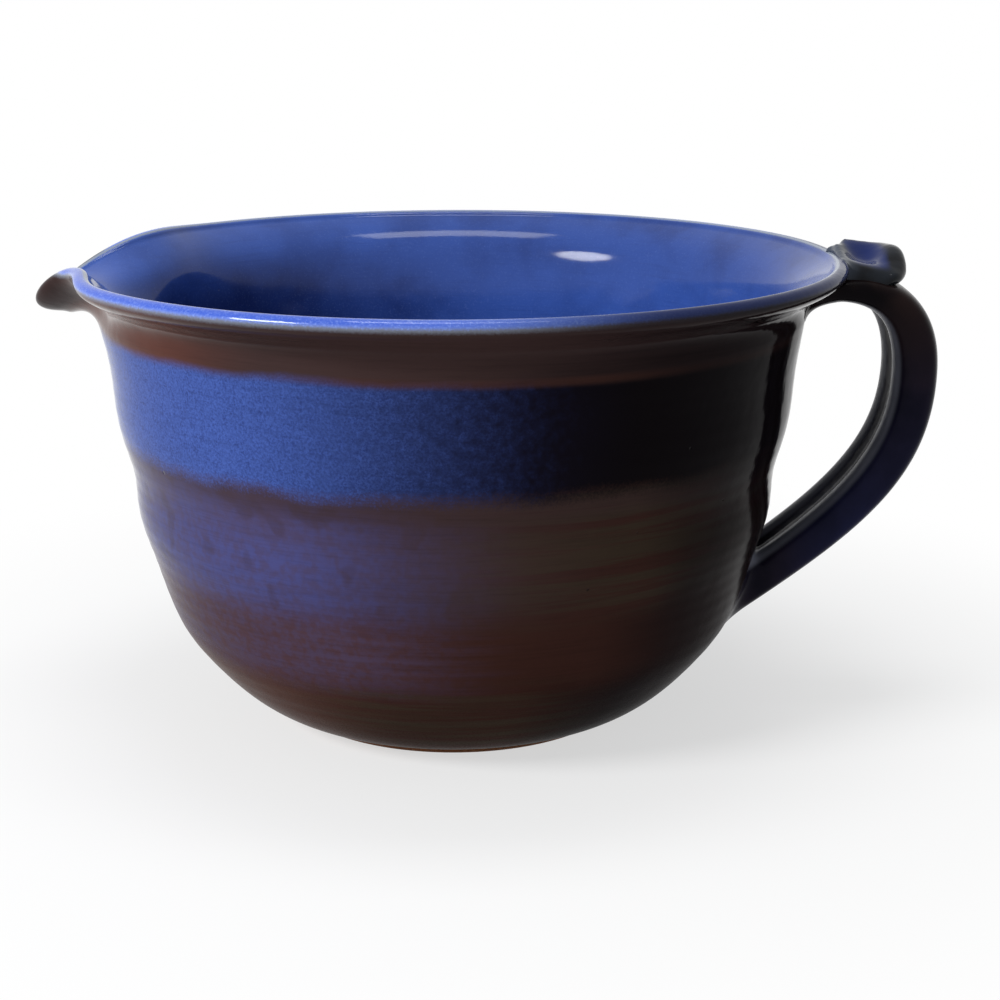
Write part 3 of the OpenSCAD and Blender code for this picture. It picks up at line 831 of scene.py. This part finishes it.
def textures(n):
    """Three noises: streaks round the wheel, fine streaks, and the glaze's grain."""
    streak = n.noise(0.4, 4.0, 0.6, stretch=(0.035, 0.035, 1.0))
    fine = n.noise(1.6, 3.0, 0.6, stretch=(0.04, 0.04, 1.0), shift=31.0)
    grain = n.noise(1.7, 3.0, 0.75)
    return streak, fine, grain


def body_glaze():
    n = Nodes("body_glaze")
    high, low, top, beak = (n.attribute(k) for k in ("high", "band_low", "band_top", "beak"))
    streak, fine, grain = textures(n)
    cloud = n.noise(0.055, 3.0, 0.5, shift=11.0)
    drift = n.noise(0.02, 2.0, 0.5, shift=57.0)
    lumps = n.noise(0.5, 2.0, 0.5, shift=71.0)
    dabs = n.noise(0.14, 0.5, 0.3, stretch=(1.0, 1.0, 0.8), shift=83.0)
    sway = n.plus(n.swing(streak, 2.5), n.swing(cloud, 5.0))
    level = n.plus(high, sway)
    # 1 where the glaze is browner and painted shade darkest, towards the handle and the camera, -1 across
    # from it
    side = n.plus(n.towards(SHADED_SIDE), n.swing(drift, 0.12))
    ragged = n.plus(side, n.swing(streak, 0.3))

    # The neck: chestnut by the spout, then umber, then black painted shade on the dark side
    neck = n.mix(n.span(side, -0.45, 0.0), CHESTNUT, UMBER)
    neck = n.mix(n.span(ragged, 0.45, 1.05, 0.0, 0.9), neck, BLACK_AND_SHADE)
    # The belly: indigo, then umber with olive strokes, then black painted shade
    belly = n.mix(n.span(ragged, 0.3, 0.9), UMBER, n.mix(n.span(streak, 0.4, 0.55), BARK, OLIVE))
    mottle = n.plus(n.times(lumps, 0.6), n.times(streak, 0.4))
    indigo = n.mix(n.span(mottle, 0.36, 0.64, 0.0, 0.55), INDIGO, PLUM)
    upper = n.times(n.span(level, 60.0, 74.0), n.span(cloud, 0.3, 0.6, 0.75, 0.25))
    indigo = n.mix(upper, indigo, PLUM)
    indigo = n.mix(n.span(dabs, 0.6, 0.7, 0.0, 0.3), indigo, UMBER)
    belly = n.mix(n.span(side, -0.1, 0.62, 1.0, 0.0), belly, indigo)
    belly = n.mix(n.span(side, 0.84, 0.98, 0.0, 0.85), belly, BLACK_AND_SHADE)
    # Under it plum, then bark, then black painted shade
    low_wall = n.mix(n.span(mottle, 0.36, 0.64, 0.1, 0.6), PLUM, RUST)
    low_wall = n.mix(n.span(ragged, 0.05, 0.6), low_wall, BARK)
    low_wall = n.mix(n.span(side, 0.76, 1.0, 0.0, 0.85), low_wall, BLACK_AND_SHADE)
    # And rust round the foot, going to black painted shade on the dark side
    base = n.mix(n.span(side, -0.3, 0.3), RUST, n.mix(n.span(streak, 0.4, 0.6), BARK, OLIVE))
    base = n.mix(n.span(side, 0.55, 0.92, 0.0, 0.9), base, BLACK_AND_SHADE)

    colour = n.mix(n.span(level, 22.0, 33.0), base, low_wall)
    colour = n.mix(n.span(level, 43.0, 54.0), colour, belly)
    # A brown line where the two glazes overlap thinly, going black with painted shade on the dark side
    overlap = n.times(n.band(level, 74.0, 80.0, 3.0, 2.0), n.span(side, -0.6, 0.1, 0.35, 0.75))
    colour = n.mix(overlap, colour, n.mix(n.span(side, 0.8, 1.0), UMBER, BLACK_AND_SHADE))
    # The granular blue band, which goes to painted shade, a shaded blue and then black, on the dark side
    grains = n.mix(n.span(grain, 0.32, 0.68), COBALT_DEEP, COBALT)
    grains = n.mix(n.span(lumps, 0.35, 0.7, 0.0, 0.35), grains, COBALT)
    scattered = n.plus(side, n.swing(lumps, 0.35))
    blue = n.mix(n.span(scattered, -0.2, 0.72), grains, SHADED_BLUE)
    blue = n.mix(n.span(side, 0.45, 0.85), blue, BLACK_AND_SHADE)
    frayed = n.plus(level, n.swing(grain, 5.0))
    colour = n.mix(n.span(frayed, 77.0, 82.5), colour, blue)
    clouded = n.plus(high, n.swing(cloud, 3.0))
    colour = n.mix(n.span(clouded, 106.0, 109.5), colour, neck)
    broken = n.times(n.band(high, 107.2, 109.0, 0.8, 0.8), n.span(side, -0.2, 0.3, 0.0, 0.5))
    colour = n.mix(n.times(broken, n.span(side, 0.7, 0.95, 1.0, 0.2)), colour, RUST)
    colour = n.mix(n.span(fine, 0.4, 0.8, 0.0, 0.3), colour, n.mix(0.5, colour, BLACK_AND_SHADE))
    # The beak under the spout: brown glaze, darkened almost to black with painted shade
    colour = n.mix(n.times(beak, 0.95), colour, n.mix(n.span(cloud, 0.3, 0.7, 0.1, 0.6), BLACK_AND_SHADE, UMBER))
    # The rim's band takes painted shade on the dark side
    colour = rim_band(n, colour, low, grain, n.span(side, 0.4, 0.85))
    colour = lining_over(n, colour, top, grain, fine)
    # Bare clay at the very foot
    foot = n.span(n.plus(high, n.times(sway, 0.1)), 2.6, 3.4, 1.0, 0.0)
    colour = n.mix(foot, colour, CLAY)
    rough = n.plus(n.span(grain, 0.3, 0.8, 0.06, 0.12), n.span(level, 20.0, 75.0, 0.2, 0.0))
    rough = n.plus(rough, n.times(foot, 0.4))
    gloss = n.times(n.span(side, -0.5, 0.3, 0.06, 0.015), n.span(high, 12.0, 70.0, 0.25, 1.0))
    gloss = n.times(gloss, n.math("SUBTRACT", 1.0, n.times(beak, 0.85)))
    rim_gloss = n.times(n.span(low, -0.5, 0.5), n.span(side, 0.2, 0.7, 0.35, 0.06))
    gloss = n.math("MAXIMUM", gloss, rim_gloss)
    return finish_glaze(n, colour, grain, fine, rough, gloss)


def lining_glaze():
    n = Nodes("lining_glaze")
    streak, fine, grain = textures(n)
    low, top = n.attribute("band_low"), n.attribute("band_top")
    ground = n.mix(n.span(streak, 0.3, 0.7), UMBER, OLIVE)
    # The rim's band takes painted shade on the dark side
    colour = rim_band(n, ground, low, grain, n.span(n.towards(SHADED_SIDE), 0.4, 0.85))
    colour = lining_over(n, colour, top, grain, fine)
    return finish_glaze(n, colour, grain, fine, n.span(grain, 0.3, 0.8, 0.08, 0.12), LINING_SPECULAR, 0.08)


def handle_glaze():
    n = Nodes("handle_glaze")
    cloud = n.noise(0.06, 3.0, 0.5, shift=3.0)
    grain = n.noise(1.4, 2.0, 0.6)
    low = n.times(n.span(n.z, 40.0, 122.0, 1.0, 0.0), n.span(n.x, 84.0, 104.0, 0.3, 1.0))
    colour = n.mix(n.span(cloud, 0.35, 0.65), BLACK_AND_SHADE, STRAP_BROWN)
    colour = n.mix(n.times(low, n.span(cloud, 0.3, 0.6, 0.55, 1.0)), colour, STRAP_NAVY)
    streak = n.noise(0.25, 3.0, 0.6, stretch=(0.3, 1.0, 0.3), shift=47.0)
    # Painted highlight: the ridges beside the groove go grey, as by reflection
    ridge = n.times(n.attribute("ridge"), n.span(streak, 0.3, 0.7, 0.75, 1.0))
    colour = n.mix(n.times(ridge, 0.9), colour, RIDGE_GREY)
    rough = n.span(grain, 0.3, 0.8, 0.18, 0.28)
    normal = n.bumps(n.noise(0.12, 2.0, 0.5, shift=9.0), 0.6, 0.5)
    normal = n.bumps(grain, 0.03, 0.5, normal)
    return n.surface(colour, rough, normal, STRAP_SPECULAR)


def rest_glaze():
    n = Nodes("rest_glaze")
    cloud = n.noise(0.12, 3.0, 0.5, shift=19.0)
    grain = n.noise(1.4, 2.0, 0.6)
    colour = n.mix(n.span(cloud, 0.35, 0.65), REST_BLACK, REST_GREY)
    pooled = n.plus(n.attribute("pool"), n.swing(cloud, 0.7))
    colour = n.mix(n.span(pooled, 0.2, 0.9), colour, POOL_BLUE)
    colour = n.mix(n.span(n.x, 102.0, 108.0, 0.9, 0.0), colour, SLOPE_GREY)
    rough = n.span(grain, 0.3, 0.8, 0.07, 0.14)
    normal = n.bumps(n.noise(0.2, 2.0, 0.5, shift=23.0), 0.4, 0.5)
    return n.surface(colour, rough, normal, REST_SPECULAR)


def bare_clay():
    n = Nodes("bare_clay")
    grain = n.noise(1.2, 4.0, 0.65)
    speck = n.noise(0.6, 3.0, 0.6, shift=13.0)
    colour = n.mix(n.span(grain, 0.3, 0.7), CLAY_DARK, CLAY_PALE)
    colour = n.mix(n.span(speck, 0.62, 0.7), colour, CLAY_SPECK)
    normal = n.bumps(grain, 0.12, 0.6)
    return n.surface(colour, n.span(grain, 0.3, 0.7, 0.62, 0.8), normal, CLAY_SPECULAR)


def ridge_share(points):
    """1 on the two ridges beside the strap's groove, which take a grey painted highlight."""
    runs = np.linspace(0, 2, 400)
    mids, ways, wide, thick = (
        np.array([at(s) for s in runs]) for at in (strap_mid, strap_way, strap_w, strap_t))

    def nearest(part):
        return np.argmin((part[:, :1] - mids[:, 0]) ** 2 + (part[:, 2:] - mids[:, 1]) ** 2, axis=1)

    # In parts, so that the table of distances stays small
    near = np.concatenate([nearest(part) for part in np.array_split(points, 40)])
    dx, dz = points[:, 0] - mids[near, 0], points[:, 2] - mids[near, 1]
    inward = (dx * ways[near, 1] - dz * ways[near, 0]) / (thick[near] / 2)
    across = np.abs(points[:, 1]) / (wide[near] / 2)
    turn = np.arctan2(across, inward) / DEG
    return smooth((turn - 16) / 8) * smooth((56 - turn) / 12) * smooth((runs[near] - 0.05) / 0.3)


def pool_share(points):
    """1 in the hollow of the thumb rest, where the glaze runs together, 0 on its edges."""
    along = (points[:, 0] - FRONT_X) / (NOSE_X - FRONT_X)
    across = np.abs(points[:, 1]) / (THUMB_W / 2)
    return smooth((1.0 - across) / 0.5) * smooth((1.0 - along) / 0.3) * smooth((along - 0.05) / 0.25)


def dress(obj, material, slot, *nodes):
    """Gives the piece its glaze and body, and hides the CAD nodes that it stands for. The slot is not used.
    """
    obj.data.materials.clear()
    obj.data.materials.append(material)
    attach(obj, "root")
    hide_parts(*nodes)


for piece, key, share_at in ((thumb, "pool", pool_share), (handle, "ridge", ridge_share)):
    mark_points(piece.data, key, share_at(raw_points(piece.data).astype(float) / MM))
dress(bowl, body_glaze(), "glazed_body", "bowl_body")
bowl.data.materials.append(lining_glaze())
for face in bowl.data.polygons:
    face.material_index = int(min(face.vertices) >= lining_from)
dress(handle, handle_glaze(), "handle_glaze", "handle", "upper_joint", "lower_joint")
dress(thumb, rest_glaze(), "rest_glaze", "thumb_rest")
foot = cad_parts["foot_ring"]
foot.data.materials.clear()
foot.data.materials.append(bare_clay())


# Floor, light and camera

def seen(tree):
    """1 for the rays that show the background: straight from the camera, or by reflection or glass."""
    path = tree.nodes.new("ShaderNodeLightPath")
    total = path.outputs["Is Camera Ray"]
    for name in ("Is Glossy Ray", "Is Transmission Ray"):
        node = tree.nodes.new("ShaderNodeMath")
        node.operation = "MAXIMUM"
        tree.links.new(total, node.inputs[0])
        tree.links.new(path.outputs[name], node.inputs[1])
        total = node.outputs[0]
    return total


def studio_world(level):
    """Soft light from all round, and a white background."""
    world = bpy.data.worlds.new("studio")
    bpy.context.scene.world = world
    world.use_nodes = True
    tree = world.node_tree
    tree.nodes.clear()
    soft_light = tree.nodes.new("ShaderNodeBackground")
    soft_light.inputs["Color"].default_value = (0.93, 0.96, 1.0, 1.0)
    soft_light.inputs["Strength"].default_value = level
    white = tree.nodes.new("ShaderNodeBackground")
    white.inputs["Color"].default_value = (1, 1, 1, 1)
    choose = tree.nodes.new("ShaderNodeMixShader")
    out = tree.nodes.new("ShaderNodeOutputWorld")
    tree.links.new(seen(tree), choose.inputs[0])
    tree.links.new(soft_light.outputs[0], choose.inputs[1])
    tree.links.new(white.outputs[0], choose.inputs[2])
    tree.links.new(choose.outputs[0], out.inputs[0])


# The paper's radius in metres, and its sides
FLOOR_R, FLOOR_SIDES = 0.9, 96


def studio_floor():
    """White paper that takes the bowl's shadow and fades into the background."""
    n = Nodes("floor_paper")
    away = n.add("ShaderNodeVectorMath", {0: n.place}, operation="LENGTH").outputs["Value"]
    paper = n.add("ShaderNodeBsdfDiffuse", {"Color": (0.82, 0.82, 0.82, 1.0)}).outputs[0]
    white = n.add("ShaderNodeEmission", {"Color": (1, 1, 1, 1)}).outputs[0]
    share = n.times(seen(n.tree), n.span(away, 60.0, 260.0, 0.62, 1.0))
    surface = n.add("ShaderNodeMixShader", {0: share, 1: paper, 2: white}).outputs[0]
    n.add("ShaderNodeOutputMaterial", {0: surface})
    turns = [2 * math.pi * k / FLOOR_SIDES for k in range(FLOOR_SIDES)]
    edge = [(FLOOR_R * math.cos(a), FLOOR_R * math.sin(a), 0) for a in turns]
    mesh = bpy.data.meshes.new("studio_floor")
    mesh.from_pydata(edge, [], [tuple(range(FLOOR_SIDES))])
    floor = bpy.data.objects.new("studio_floor", mesh)
    mesh.materials.append(n.material)
    bpy.context.scene.collection.objects.link(floor)


def lamp(name, shape, place, target, size, level):
    """An area lamp. level is the brightness that a white surface facing it takes."""
    place, target = Vector(place), Vector(target)
    data = bpy.data.lights.new(name, "AREA")
    data.shape, data.size, data.size_y = shape, size[0], size[1]
    data.energy = level * (math.pi * (target - place).length) ** 2
    obj = bpy.data.objects.new(name, data)
    obj.location = place
    obj.rotation_euler = (target - place).to_track_quat("-Z", "Y").to_euler()
    obj.visible_camera = False
    bpy.context.scene.collection.objects.link(obj)


# The photographer's camera, fitted to the photograph: its place in metres, its fall in degrees, its lens
CAMERA_PLACE, CAMERA_FALL, CAMERA_LENS, SENSOR_W = (0.01235, -0.525, 0.19754), 15.0617, 70.545, 36.0


def set_camera():
    data = bpy.data.cameras.new("camera")
    data.sensor_width, data.lens = SENSOR_W, CAMERA_LENS
    camera = bpy.data.objects.new("camera", data)
    camera.location = CAMERA_PLACE
    camera.rotation_euler = ((90 - CAMERA_FALL) * DEG, 0, 0)
    bpy.context.scene.collection.objects.link(camera)
    bpy.context.scene.camera = camera


studio_world(0.3)
studio_floor()
# The key lamp makes the oval in the lining, the top lamp the arc
lamp("key_lamp", "ELLIPSE", (-0.79, -0.60, 0.645), (0, 0, 0.08), (0.41, 0.33), 0.85)
lamp("top_lamp", "RECTANGLE", (-0.004, -0.02, 1.15), (-0.004, 0, 0.1), (0.59, 0.27), 0.42)
set_camera()
bpy.context.scene.view_settings.view_transform = "Standard"
